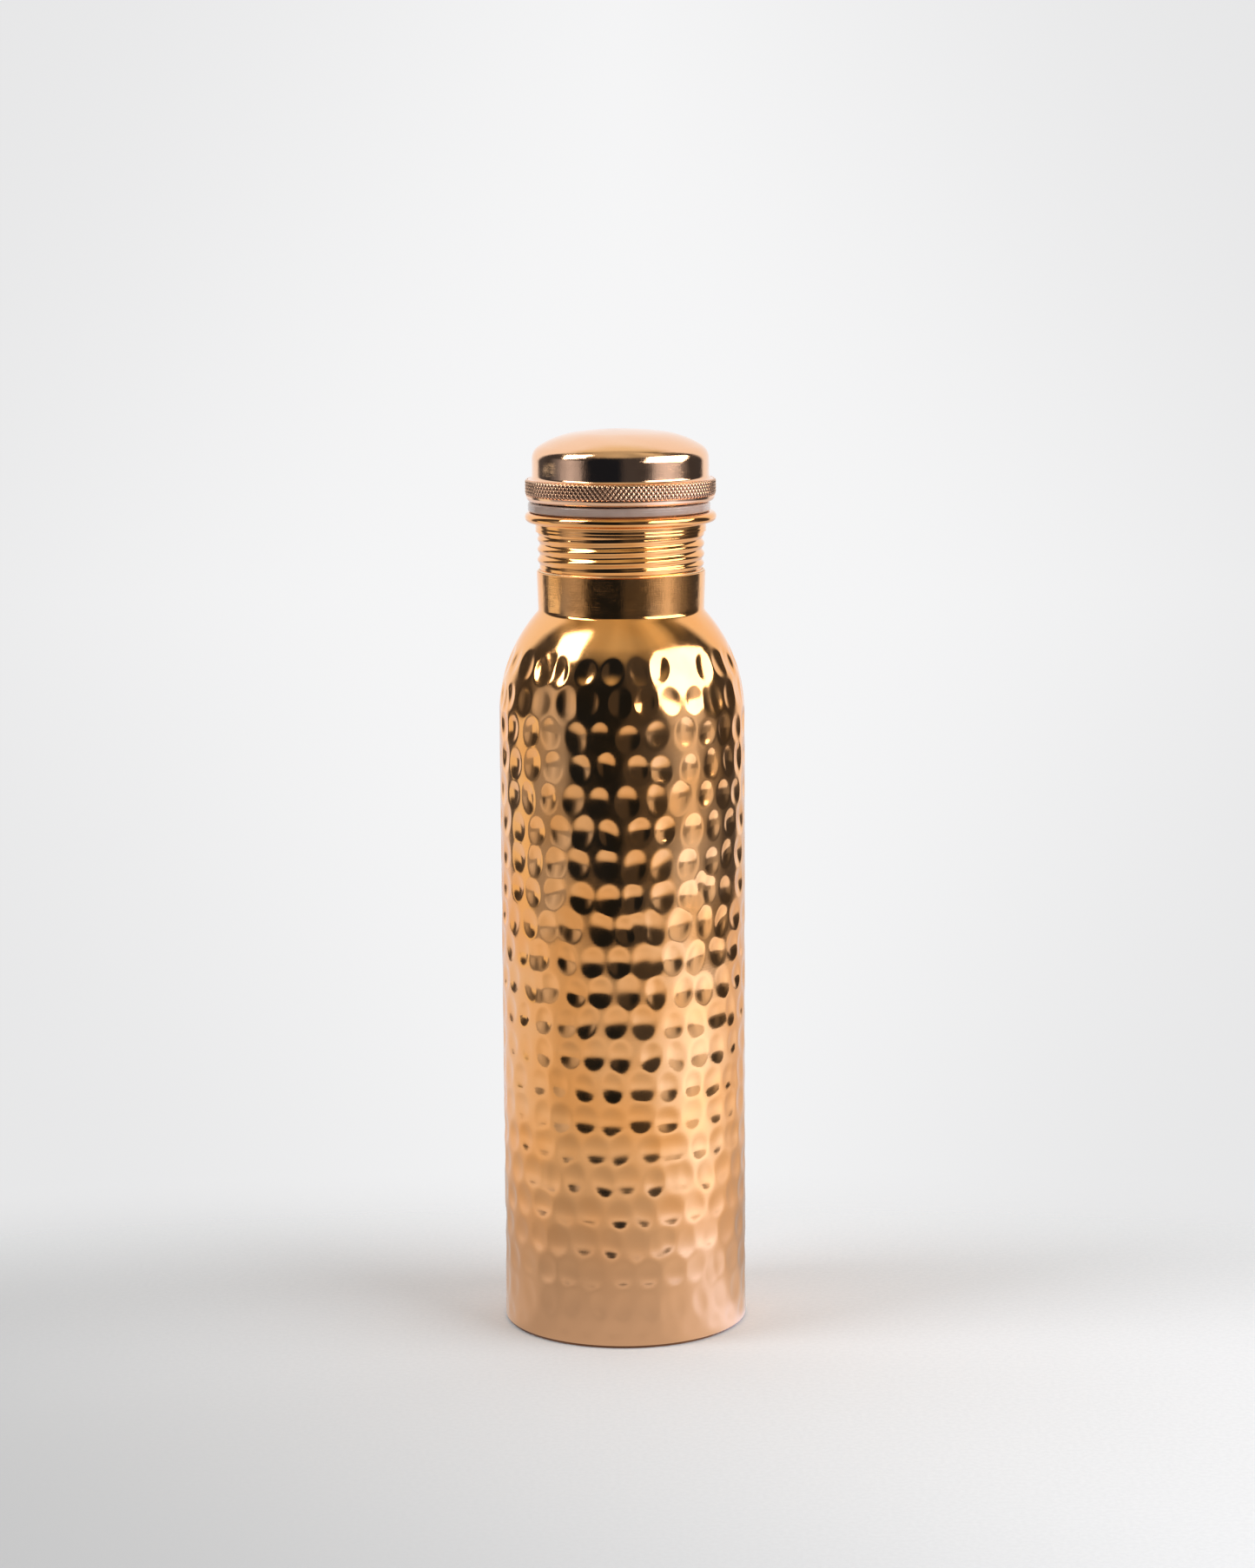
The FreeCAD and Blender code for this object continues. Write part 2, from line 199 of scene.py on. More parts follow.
# Camera and studio
CAMERA_PLACE = Vector((0.0015, -1.081, 0.335))
CAMERA_LENS = 84.16          # millimetres, on a sensor of this width
CAMERA_SENSOR = 36.0
CAMERA_DOWN = 9.02
CAMERA_TILT = -0.37
EYE_OF_STUDIO = Vector((0.0, 0.0, 0.205))
TABLE_FRONT = -0.60
TABLE_LEFT = -0.62
TABLE_RIGHT = 0.54
TABLE_FRONT_BLUR = 0.08
TABLE_SIDE_BLUR = 0.02
FLOOR_RINGS = (0.05, 0.1, 0.2, 0.4, 0.8, 1.6)
AROUND_FLOOR = 96
DARK = colour(0.010, 0.015, 0.026)
STRIP_CREAM = colour(0.86, 0.84, 0.72)
WALL_WHITE = colour(0.97, 0.98, 1.0)
LAMP_WHITE = colour(1.0, 0.98, 0.95)
# backdrop tones: painted light, brighter in the middle and greyer away from it
BACKDROP_TONES = (colour(0.92, 0.92, 0.925), colour(0.80, 0.80, 0.805))
PAPER_TONES = (colour(0.68, 0.70, 0.75), colour(0.71, 0.73, 0.78))
# painted shade on the paper towards the front left
PAPER_SHADE = colour(0.50, 0.515, 0.55)
# tints of the table's painted glow, bluer where it is brighter
TABLE_TONES = (colour(1.0, 0.97, 0.95), colour(1.0, 1.15, 1.6))


# Outlines


def ellipse_arc(centre, reach, rise, start, end, steps):
    """Points of an ellipse's arc, both ends included. reach and rise are its half axes."""
    angles = np.radians(np.linspace(start, end, steps + 1))
    return np.stack([centre[0] + reach * np.cos(angles), centre[1] + rise * np.sin(angles)], 1)


def arc(centre, radius, start, end, steps):
    """Points of an arc, both ends included. The angles are degrees."""
    return ellipse_arc(centre, radius, radius, start, end, steps)


def line(start, end, steps=1):
    """Evenly spaced points of a straight line, both ends included."""
    return np.linspace(start, end, steps + 1)


def outline_of(*stretches):
    """Joins stretches of points into one outline and drops repeated points."""
    points = np.vstack([np.atleast_2d(np.array(s, float)) for s in stretches])
    apart = np.linalg.norm(np.diff(points, axis=0), axis=1) > 1e-6
    return points[np.concatenate([[True], apart])]


def smooth(share):
    """Eases from 0 to 1, and stays there."""
    share = np.clip(share, 0.0, 1.0)
    return share * share * (3 - 2 * share)


# Mesh building


def angles_around(columns):
    """The angle of each mesh column, as one row."""
    return (np.arange(columns) * TURN / columns)[None, :]


def turned(points, around):
    """Radii and heights of an outline's points, each repeated for every mesh column."""
    return np.repeat(points[:, :1], around, axis=1), np.repeat(points[:, 1:], around, axis=1)


def lathe(name, points, around, radii=None, heights=None, centre_x=0.0):
    """A closed surface of revolution about Z from a loop of points, up outside and down inside.

    radii and heights, if given, hold one value per outline point and angle, and replace the
    outline's own. A point on the axis becomes one vertex.
    """
    angles = angles_around(around)[0]
    plain_radii, plain_heights = turned(points, around)
    if radii is None:
        radii = plain_radii
    if heights is None:
        heights = plain_heights
    on_axis = points[:, 0] < 1e-6
    vertices = []
    first = []
    for i in range(len(points)):
        first.append(len(vertices))
        if on_axis[i]:
            vertices.append((centre_x, 0.0, heights[i, 0]))
            continue
        xs = centre_x + radii[i] * np.cos(angles)
        ys = radii[i] * np.sin(angles)
        vertices.extend(zip(xs, ys, heights[i]))
    faces = []
    for i in range(len(points)):
        k = (i + 1) % len(points)
        if on_axis[i] and on_axis[k]:
            continue
        for j in range(around):
            right = (j + 1) % around
            if on_axis[i]:
                faces.append((first[i], first[k] + right, first[k] + j))
            elif on_axis[k]:
                faces.append((first[i] + j, first[i] + right, first[k]))
            else:
                faces.append((first[i] + j, first[i] + right, first[k] + right, first[k] + j))
    return make_piece(name, np.array(vertices) * MM, faces)


def make_piece(name, vertices, faces):
    """A smooth-shaded mesh object in the scene, from vertices in metres."""
    mesh = bpy.data.meshes.new(name)
    mesh.from_pydata(vertices.tolist(), [], faces)
    mesh.validate()
    mesh.shade_smooth()
    piece = bpy.data.objects.new(name, mesh)
    bpy.context.scene.collection.objects.link(piece)
    return piece


def add_attribute(piece, name, values):
    """Stores one number per vertex, which a material can read."""
    attribute = piece.data.attributes.new(name, "FLOAT", "POINT")
    attribute.data.foreach_set("value", np.asarray(values, np.float32).ravel())


def sharpen(piece, degrees):
    """Marks edges that turn by more than this as sharp, so that flat faces stay flat."""
    piece.data.set_sharp_from_angle(angle=math.radians(degrees))


# Body


def shoulder_centre():
    return (BODY_RADIUS - SHOULDER_RADIUS, SHOULDER_START)


def collar_fillet():
    """Centre of the fillet between shoulder and collar, and the degrees where it meets the shoulder."""
    across = COLLAR_RADIUS_LOW + COLLAR_FILLET
    centre = shoulder_centre()
    rise = math.sqrt((SHOULDER_RADIUS + COLLAR_FILLET) ** 2 - (across - centre[0]) ** 2)
    return (across, centre[1] + rise), math.degrees(math.atan2(rise, across - centre[0]))


def vigour(length):
    """How hard the hammer fell: softly at the foot, harder up to the middle, and full above."""
    share = 0.80 + 0.20 * float(smooth((length - 60) / 80))
    return share * (0.75 + 0.25 * float(smooth((length - 10) / 15)))


def narrowing(length):
    """Width of the dents at this length: they stand apart high up and at the foot, and meet between."""
    high_up = 0.16 * float(smooth((length - 60) / 50))
    at_foot = 0.28 * float(smooth((24 - length) / 14))
    return 1 - high_up - at_foot


def strikes(seed=11):
    """Where the hammer fell: angle, length, half width, half height, depth and tilt of each dent."""
    draw = np.random.default_rng(seed)
    for row in range(DENT_ROWS):
        phase = draw.uniform(0, TURN)
        for i in range(DENTS_AROUND):
            angle = phase + (i + draw.uniform(-DENT_STRAY, DENT_STRAY)) * TURN / DENTS_AROUND
            length = DENT_TOP_ROW - row * DENT_ROW_PITCH + draw.uniform(-DENT_LIFT, DENT_LIFT)
            depth = vigour(length) * draw.uniform(*DENT_DEPTHS)
            width = narrowing(length) * draw.uniform(*DENT_HALF_WIDTHS)
            height = draw.uniform(*DENT_HALF_HEIGHTS)
            tilt = draw.uniform(-DENT_TILT, DENT_TILT)
            yield angle, length, width, height, depth, tilt
            if draw.random() < SECOND_STRIKE_CHANCE:
                aside = draw.uniform(*SECOND_STRIKE_ASIDE) * draw.choice([-1, 1]) / BODY_RADIUS
                lift = draw.uniform(-SECOND_STRIKE_LIFT, SECOND_STRIKE_LIFT)
                yield angle + aside, length + lift, width, height, SECOND_STRIKE_SHARE * depth, tilt


def dent_depths(lengths, radii, around):
    """Depth of the wall below its plain shape, for each outline point and angle.

    Each dent is a shallow paraboloid dish, and the deepest one wins, with a soft rim.
    """
    angles = angles_around(around)[0]
    total = np.zeros((len(lengths), around))
    for angle, length, width, height, depth, tilt in strikes():
        rows = np.nonzero(np.abs(lengths - length) < DENT_REACH * height)[0]
        aside = (angles - angle + math.pi) % TURN - math.pi
        across = aside[None, :] * radii[rows, None]
        up = (lengths[rows] - length)[:, None]
        a = (across * math.cos(tilt) + up * math.sin(tilt)) / width
        b = (up * math.cos(tilt) - across * math.sin(tilt)) / height
        dish = depth * (1 - a * a - b * b)
        total[rows] += np.exp(dish / DENT_SOFTNESS)
    depths = DENT_SOFTNESS * np.log1p(total) + WALL_UNEVENNESS * hand_worked(lengths, around)
    # the very foot is plain, and the last stretch before the plain shoulder evens out
    above_foot = smooth((lengths - PLAIN_FOOT) / PLAIN_FOOT_FADE)
    below_top = smooth((DENTED_TOP - lengths) / DENTED_TOP_FADE)
    return depths * (above_foot * below_top)[:, None]


def hand_worked(lengths, around):
    """A slow unevenness of the wall, between 0 and 1."""
    angles = angles_around(around)
    up = lengths[:, None] / 40
    waves = np.sin(3 * angles + 1.3 * up) + np.sin(5 * angles - 2.1 * up + 1)
    waves = waves + np.sin(8 * angles + 3.3 * up + 2) + np.sin(2 * angles + 4.7 * up + 4)
    return 0.5 + waves / 8


def wall_points(lengths, inset):
    """Outline points of the wall and shoulder at these lengths of the outside, and their normals."""
    centre = shoulder_centre()
    foot = BODY_LOW.z + EDGE
    bent = np.clip((lengths - (SHOULDER_START - foot)) / SHOULDER_RADIUS, 0, None)
    heights = np.where(bent > 0, SHOULDER_START, foot + lengths)
    normals = np.stack([np.cos(bent), np.sin(bent)], 1)
    middle = np.stack([np.full(len(lengths), centre[0]), heights], 1)
    return middle + (SHOULDER_RADIUS - inset) * normals, normals


def wall_surface(lengths, inset, around, foot_point, above):
    """Radii and heights of a point at the foot, the dented wall, and the plain outline above it."""
    dented, normals = wall_points(lengths, inset)
    depths = dent_depths(lengths, dented[:, 0], around)
    radii, heights = turned(np.vstack([[foot_point], dented, above]), around)
    rows = slice(1, 1 + len(dented))
    radii[rows] -= depths * normals[:, :1]
    heights[rows] -= depths * normals[:, 1:]
    return radii, heights


def hammered_body():
    """The one-piece wall, shoulder and collar, with the hammer's dents as real geometry."""
    foot = BODY_LOW.z
    bore = BODY_RADIUS - BODY_SHEET
    fillet, meet = collar_fillet()
    dents_end = math.degrees((DENTED_TOP - SHOULDER_START + foot + EDGE) / SHOULDER_RADIUS)

    collar = outline_of(
        arc(shoulder_centre(), SHOULDER_RADIUS, dents_end, meet, 10)[1:],
        arc(fillet, COLLAR_FILLET, meet + 180, 180, 8),
        line((COLLAR_RADIUS_LOW, fillet[1]), (COLLAR_RADIUS_TOP, COLLAR_TOP - EDGE), 5),
        [(COLLAR_RADIUS_TOP - EDGE, COLLAR_TOP)],
    )
    lengths = np.concatenate([
        np.linspace(0, BODY_ROWS_CHANGE, BODY_ROWS_LOW),
        np.linspace(BODY_ROWS_CHANGE, DENTED_TOP, BODY_ROWS_HIGH + 1)[1:],
    ])
    outer = wall_surface(lengths, 0, AROUND_BODY, (BODY_RADIUS - EDGE, foot), collar)

    lining = outline_of(
        arc(shoulder_centre(), SHOULDER_RADIUS - BODY_SHEET, dents_end, meet, 5)[1:],
        arc(fillet, COLLAR_FILLET + BODY_SHEET, meet + 180, 180, 5),
        [(COLLAR_RADIUS_LOW - BODY_SHEET, COLLAR_TOP)],
    )
    lengths = np.linspace(0, DENTED_TOP, BODY_ROWS_INSIDE)
    inner = wall_surface(lengths, BODY_SHEET, AROUND_BODY // 2, (bore, foot), lining)

    piece = lined_vessel("hammered_body", outer, inner)
    sharpen(piece, 40)
    return piece


def lined_vessel(name, outer, inner):
    """Joins an outer surface and an inner one with half its columns, at the foot and at the rim."""
    vertices = []
    for radii, heights in (outer, inner):
        angles = angles_around(radii.shape[1])
        places = (radii * np.cos(angles), radii * np.sin(angles), heights)
        vertices.append(np.stack([place.ravel() for place in places], 1))
    columns = outer[0].shape[1]
    half = inner[0].shape[1]
    faces = grid_faces(0, outer[0].shape[0], columns, False)
    start = len(vertices[0])
    faces += grid_faces(start, inner[0].shape[0], half, True)
    rim = start - columns
    inner_rim = start + len(vertices[1]) - half
    for j in range(half):
        k = (j + 1) % half
        for fine, coarse, inward in ((0, start, True), (rim, inner_rim, False)):
            a, b, c = (fine + (2 * j + step) % columns for step in range(3))
            strip = [(coarse + j, a, b), (coarse + j, b, coarse + k), (coarse + k, b, c)]
            faces += [face if inward else face[::-1] for face in strip]
    return make_piece(name, np.vstack(vertices) * MM, faces)


def grid_faces(start, rows, columns, flipped):
    """Quads between the rings of a grid whose vertices begin at start."""
    faces = []
    for i in range(rows - 1):
        low = start + i * columns
        for j in range(columns):
            k = (j + 1) % columns
            face = (low + j, low + k, low + columns + k, low + columns + j)
            faces.append(face[::-1] if flipped else face)
    return faces


# Neck


def thread_wave(angles, heights):
    """0 on a thread's crest and 1 in its root: one start, right-handed."""
    phase = TURN * (heights - THREAD_CREST_HEIGHT) / THREAD_PITCH - angles
    return 0.5 * (1 - np.cos(phase))


def threaded(points, around, threads):
    """Radii for a lathe piece. threads pairs rows of its points with a radius by angle and height."""
    radii, heights = turned(points, around)
    for rows, radius in threads:
        radii[rows] = radius(angles_around(around), heights[rows])
    return radii


def neck_thread(root):
    """Radius of the neck's rolled thread over this root, outside or inside. It starts on a smooth rise."""
    low, high = NECK_THREAD

    def radius(angles, heights):
        grown = smooth((heights - low) / THREAD_FADE)
        kept = smooth((high - heights) / THREAD_FADE)
        return root + THREAD_DEPTH * grown * (1 - kept * thread_wave(angles, heights))

    return radius


def lip_meeting():
    """Centre of the lip's bead, centre of the fillet under it, and the degrees where the two meet."""
    bead = (NECK_HIGH.x - LIP_BEAD_RADIUS, NECK_HIGH.z - LIP_BEAD_RADIUS)
    across = bead[0] - (THROAT_RADIUS + LIP_FILLET)
    drop = math.sqrt((LIP_BEAD_RADIUS + LIP_FILLET) ** 2 - across ** 2)
    fillet = (THROAT_RADIUS + LIP_FILLET, bead[1] - drop)
    return bead, fillet, math.degrees(math.atan2(drop, across))


def neck():
    """Rolled lip, rolled thread and a spigot inside the collar, in one sheet."""
    low, high = NECK_THREAD
    foot = NECK_LOW.z
    bore = NECK_ROOT_RADIUS - NECK_SHEET
    spigot = COLLAR_RADIUS_LOW - BODY_SHEET - BRAZE_GAP
    mouth = THROAT_RADIUS - NECK_SHEET
    bead, fillet, meet = lip_meeting()

    below = outline_of(
        [(bore, foot), (spigot - EDGE, foot), (spigot, foot + EDGE)],
        line((spigot, foot + 1), (spigot, low - EDGE), 2),
    )
    outside = line((NECK_ROOT_RADIUS, low), (NECK_ROOT_RADIUS + THREAD_DEPTH, high), NECK_THREAD_ROWS)
    throat = line((THROAT_RADIUS, high), (THROAT_RADIUS, fillet[1]), 20)[1:-1]
    up = np.linspace(0, 1, len(throat))
    throat[:, 0] -= THROAT_RIPPLE * np.sin(math.pi * THROAT_RIPPLES * up) ** 2
    lip = outline_of(
        throat,
        arc(fillet, LIP_FILLET, 180, meet, 6),
        arc(bead, LIP_BEAD_RADIUS, meet - 180, 90, 20)[1:],
        arc((mouth + MOUTH_EDGE, NECK_HIGH.z - MOUTH_EDGE), MOUTH_EDGE, 90, 180, 6),
        line((mouth, NECK_HIGH.z - 1), (mouth, fillet[1]), 3),
    )
    inside = line((bore + THREAD_DEPTH, high), (bore, low), NECK_THREAD_ROWS_INSIDE)

    points = np.vstack([below, outside, lip, inside])
    outer_rows = np.arange(len(below), len(below) + len(outside))
    inner_rows = np.arange(len(points) - len(inside), len(points))
    radii = threaded(points, AROUND_NECK, [
        (outer_rows, neck_thread(NECK_ROOT_RADIUS)),
        (inner_rows, neck_thread(bore)),
    ])
    piece = lathe("neck_finish", points, AROUND_NECK, radii)
    sharpen(piece, 50)
    return piece


def neck_braze():
    """The wiped bead of filler on the collar's rim."""
    low = BRAZE_LOW.z
    high = BRAZE_HIGH.z
    inner = NECK_ROOT_RADIUS + BRAZE_GAP
    outer = BRAZE_HIGH.x
    points = outline_of(
        [(inner, low)],
        line((inner + 0.1, low), (outer - 0.02, low), 2),
        ellipse_arc((inner, low), outer - inner, high - low, 2, 88, 8),
        [(inner, high)],
    )
    angles = angles_around(AROUND_NECK)
    wiped = 0.82 + 0.09 * np.sin(7 * angles + 1) + 0.06 * np.sin(17 * angles) + 0.03 * np.sin(31 * angles)
    radii = inner + (points[:, :1] - inner) * wiped
    heights = low + (points[:, 1:] - low) * wiped
    return lathe("neck_braze_bead", points, AROUND_NECK, radii, heights)


# Seal


def seal():
    """Silicone washer, slightly bulged by the load, with a mould line around its middle."""
    low = SEAL_LOW.z
    high = SEAL_HIGH.z
    middle = (low + high) / 2
    flat = SEAL_OUTER_RADIUS - SEAL_CORNER
    corner = flat - SEAL_BULGE
    side = np.linspace(low + SEAL_CORNER, high - SEAL_CORNER, 13)[1:-1]
    bulge = SEAL_OUTER_RADIUS - SEAL_BULGE * ((side - middle) / (high - middle)) ** 2
    bulge = bulge - SEAL_BULGE + SEAL_BULGE * np.exp(-((side - middle) / MOULD_LINE) ** 2)
    points = outline_of(
        line((SEAL_BORE, low), (flat, low), 6),
        arc((corner, low + SEAL_CORNER), SEAL_CORNER, -90, 0, 8)[1:],
        np.stack([bulge, side], 1),
        arc((corner, high - SEAL_CORNER), SEAL_CORNER, 0, 90, 8),
        line((corner - SEAL_BULGE, high), (SEAL_BORE, high), 6),
    )
    piece = lathe("seal_washer", points, AROUND_SEAL, centre_x=SEAL_OFFSET)
    sharpen(piece, 50)
    return piece


# Cap


def groove(phase):
    """Height across one diamond, 0 in the groove and 1 on its rounded crest."""
    rise = 1 - np.abs(2 * (phase % 1.0) - 1)
    return np.minimum(1.0, 1.28 * rise) ** 0.85


def knurled_cut(columns, heights):
    """Depth of the two crossing sets of grooves. Columns and heights are counted in diamonds."""
    right = KNURL_DEPTH * (1 - groove(columns + heights))
    left = KNURL_CROSS_DEPTH * (1 - groove(columns - heights))
    return np.maximum(right, left)


def grip_outline():
    """The ring's outline in three stretches: lower lip, grip band with its top corner, and inside."""
    foot = RING_LOW.z
    top = RING_HIGH.z
    band_foot = foot + RING_LIP_RISE
    reach = RING_RADIUS - EDGE
    bulge = RING_LIP_RISE - RING_LIP_LAND
    below, above = RING_STEP_ROWS
    lip = outline_of(
        [(RING_LEDGE_BORE, foot), (RING_LEDGE_BORE + 1.5, foot)],
        ellipse_arc((reach - RING_LIP_INSET, foot + bulge), RING_LIP_INSET, bulge, -90, 0, 10),
        [(reach - RING_RELIEF, band_foot - below), (reach - RING_RELIEF, band_foot)],
    )
    row = KNURL_HEIGHT / KNURL_STEPS
    rows = int((top - RING_TOP_CORNER - band_foot) / row)
    first = band_foot + above
    last = first + rows * row
    band = outline_of(
        line((RING_RADIUS, first), (RING_RADIUS, last), rows),
        arc((RING_RADIUS - (top - last), last), top - last, 0, 90, 6)[1:],
    )
    recess = DOME_HIGH.x + SEAT_GAP
    recess_floor = DOME_LOW.z - SEAT_GAP
    inside = outline_of(
        [(recess + EDGE, top), (recess, top - EDGE), (recess, recess_floor), (RING_BORE, recess_floor)],
        [(RING_BORE, RING_LEDGE_TOP), (RING_LEDGE_BORE, RING_LEDGE_TOP)],
    )
    return lip, band, inside


def grip_ring():
    """Heavy ring with a rounded lower lip and a diamond-knurled grip band."""
    around = KNURLS * KNURL_STEPS
    lip, band, inside = grip_outline()
    points = np.vstack([lip, band, inside])
    radii, heights = turned(points, around)
    knurled = np.arange(len(lip), len(lip) + len(band) - 1)
    up = points[knurled, 1] - band[0, 1]

    from_end = np.minimum(up, RING_HIGH.z - points[knurled, 1])
    rounding = 1 - np.clip(from_end / KNURL_END_HEIGHT, 0, 1)
    radii[knurled] -= KNURL_END_DEPTH * (1 - np.sqrt(1 - rounding ** 2))[:, None]

    columns = (np.arange(around) / KNURL_STEPS)[None, :]
    cut = knurled_cut(columns, up[:, None] / KNURL_HEIGHT)
    cut *= np.clip(1 - (RING_RADIUS - points[knurled, 0][:, None]) / KNURL_CORNER_REACH, 0, 1)
    radii[knurled] -= cut

    piece = lathe("grip_ring", points, around, radii, heights)
    crest = np.ones(radii.shape)
    crest[knurled] = 1 - cut / KNURL_DEPTH
    add_attribute(piece, "crest", crest)
    sharpen(piece, 60)
    return piece


def dome_arcs():
    """Centres and meeting degrees of the dome's three arcs: crown, flank and knuckle."""
    crown = (0.0, DOME_HIGH.z - CROWN_RADIUS)
    crown_ends = math.degrees(math.acos(CROWN_EDGE / CROWN_RADIUS))
    flank = tuple(arc(crown, CROWN_RADIUS - FLANK_RADIUS, crown_ends, crown_ends, 1)[0])
    across = DOME_RADIUS - KNUCKLE_RADIUS - flank[0]
    flank_ends = math.degrees(math.acos(across / (FLANK_RADIUS - KNUCKLE_RADIUS)))
    knuckle = tuple(arc(flank, FLANK_RADIUS - KNUCKLE_RADIUS, flank_ends, flank_ends, 1)[0])
    return crown, crown_ends, flank, flank_ends, knuckle


def dome():
    """Spun and polished cover, with a little unevenness left by the hand polishing."""
    crown, crown_ends, flank, flank_ends, knuckle = dome_arcs()
    foot = DOME_LOW.z
    rim = DOME_HIGH.x
    fillet = (DOME_RADIUS + DOME_FOOT_FILLET, foot + DOME_SHEET + DOME_FOOT_FILLET)
    outer = outline_of(
        line((rim, foot), (rim, foot + DOME_SHEET - DOME_FOOT_FLAT)),
        [(rim - DOME_FOOT_FLAT, foot + DOME_SHEET)],
        arc(fillet, DOME_FOOT_FILLET, 270, 180, 8),
        line((DOME_RADIUS, fillet[1]), (DOME_RADIUS, knuckle[1]), 8),
        arc(knuckle, KNUCKLE_RADIUS, 0, flank_ends, 16),
        arc(flank, FLANK_RADIUS, flank_ends, crown_ends, 22),
        arc(crown, CROWN_RADIUS, crown_ends, 90, 12),
    )
    outer[-1, 0] = 0.0
    inner = outline_of(
        arc(crown, CROWN_RADIUS - DOME_SHEET, 90, crown_ends, 8),
        arc(flank, FLANK_RADIUS - DOME_SHEET, crown_ends, flank_ends, 12),
        arc(knuckle, KNUCKLE_RADIUS - DOME_SHEET, flank_ends, 0, 8),
        arc(fillet, DOME_FOOT_FILLET + DOME_SHEET, 180, 270, 8),
    )
    inner[0, 0] = 0.0
    points = np.vstack([outer, inner])
    radii, _ = turned(points, AROUND_DOME)
    angles = angles_around(AROUND_DOME)
    heights = outer[:, 1:]
    polished_side = smooth((outer[:, 1] - foot - 1.5) / 2) * smooth(outer[:, 0] / 10)
    uneven = 0.5 + 0.2 * np.sin(3 * angles + heights / 2) + 0.15 * np.sin(7 * angles - heights)
    uneven = uneven + 0.1 * np.sin(13 * angles + 1.7 * heights)
    radii[:len(outer)] -= DOME_UNEVENNESS * polished_side[:, None] * uneven
    piece = lathe("dome_cover", points, AROUND_DOME, radii)
    sharpen(piece, 50)
    return piece


def plug_thread(angles, heights):
    """Radius of the plug's thread, which fades out at both ends."""
    low, high = PLUG_THREAD
    raised = smooth((heights - low) / THREAD_FADE) * smooth((high - heights) / THREAD_FADE)
    return PLUG_ROOT_RADIUS + THREAD_DEPTH * raised * (1 - thread_wave(angles, heights))


def plug():
    """Deep drawn cup with the cap's thread and a flange on the grip ring's ledge."""
    low, high = PLUG_THREAD
    floor = PLUG_LOW.z
    top = PLUG_HIGH.z
    bore = PLUG_ROOT_RADIUS - PLUG_SHEET
    corner_foot = floor + PLUG_FLOOR_CORNER
    inner_corner = PLUG_FLOOR_CORNER - PLUG_SHEET
    rise = PLUG_STEP_RADIUS - PLUG_ROOT_RADIUS
    below = outline_of(
        line((0, floor), (PLUG_ROOT_RADIUS - PLUG_FLOOR_CORNER, floor), 8),
        arc((PLUG_ROOT_RADIUS - PLUG_FLOOR_CORNER, corner_foot), PLUG_FLOOR_CORNER, -90, 0, 8),
        [(PLUG_ROOT_RADIUS, (corner_foot + low) / 2)],
    )
    thread = line((PLUG_ROOT_RADIUS, low), (PLUG_ROOT_RADIUS, high), PLUG_THREAD_ROWS)
    above = outline_of(
        [(PLUG_ROOT_RADIUS, PLUG_STEP_FOOT), (PLUG_STEP_RADIUS, PLUG_STEP_FOOT + rise)],
        [(PLUG_STEP_RADIUS, PLUG_FLANGE_FOOT), (PLUG_HIGH.x, PLUG_FLANGE_FOOT)],
        [(PLUG_HIGH.x, top), (bore, top)],
        line((bore, top - 1), (bore, corner_foot), 6),
        arc((bore - inner_corner, corner_foot), inner_corner, 0, -90, 4),
        line((bore - inner_corner, floor + PLUG_SHEET), (0, floor + PLUG_SHEET), 6),
    )
    points = np.vstack([below, thread, above])
    rows = np.arange(len(below), len(below) + len(thread))
    radii = threaded(points, AROUND_NECK, [(rows, plug_thread)])
    piece = lathe("threaded_plug", points, AROUND_NECK, radii)
    sharpen(piece, 40)
    return piece


# Materials


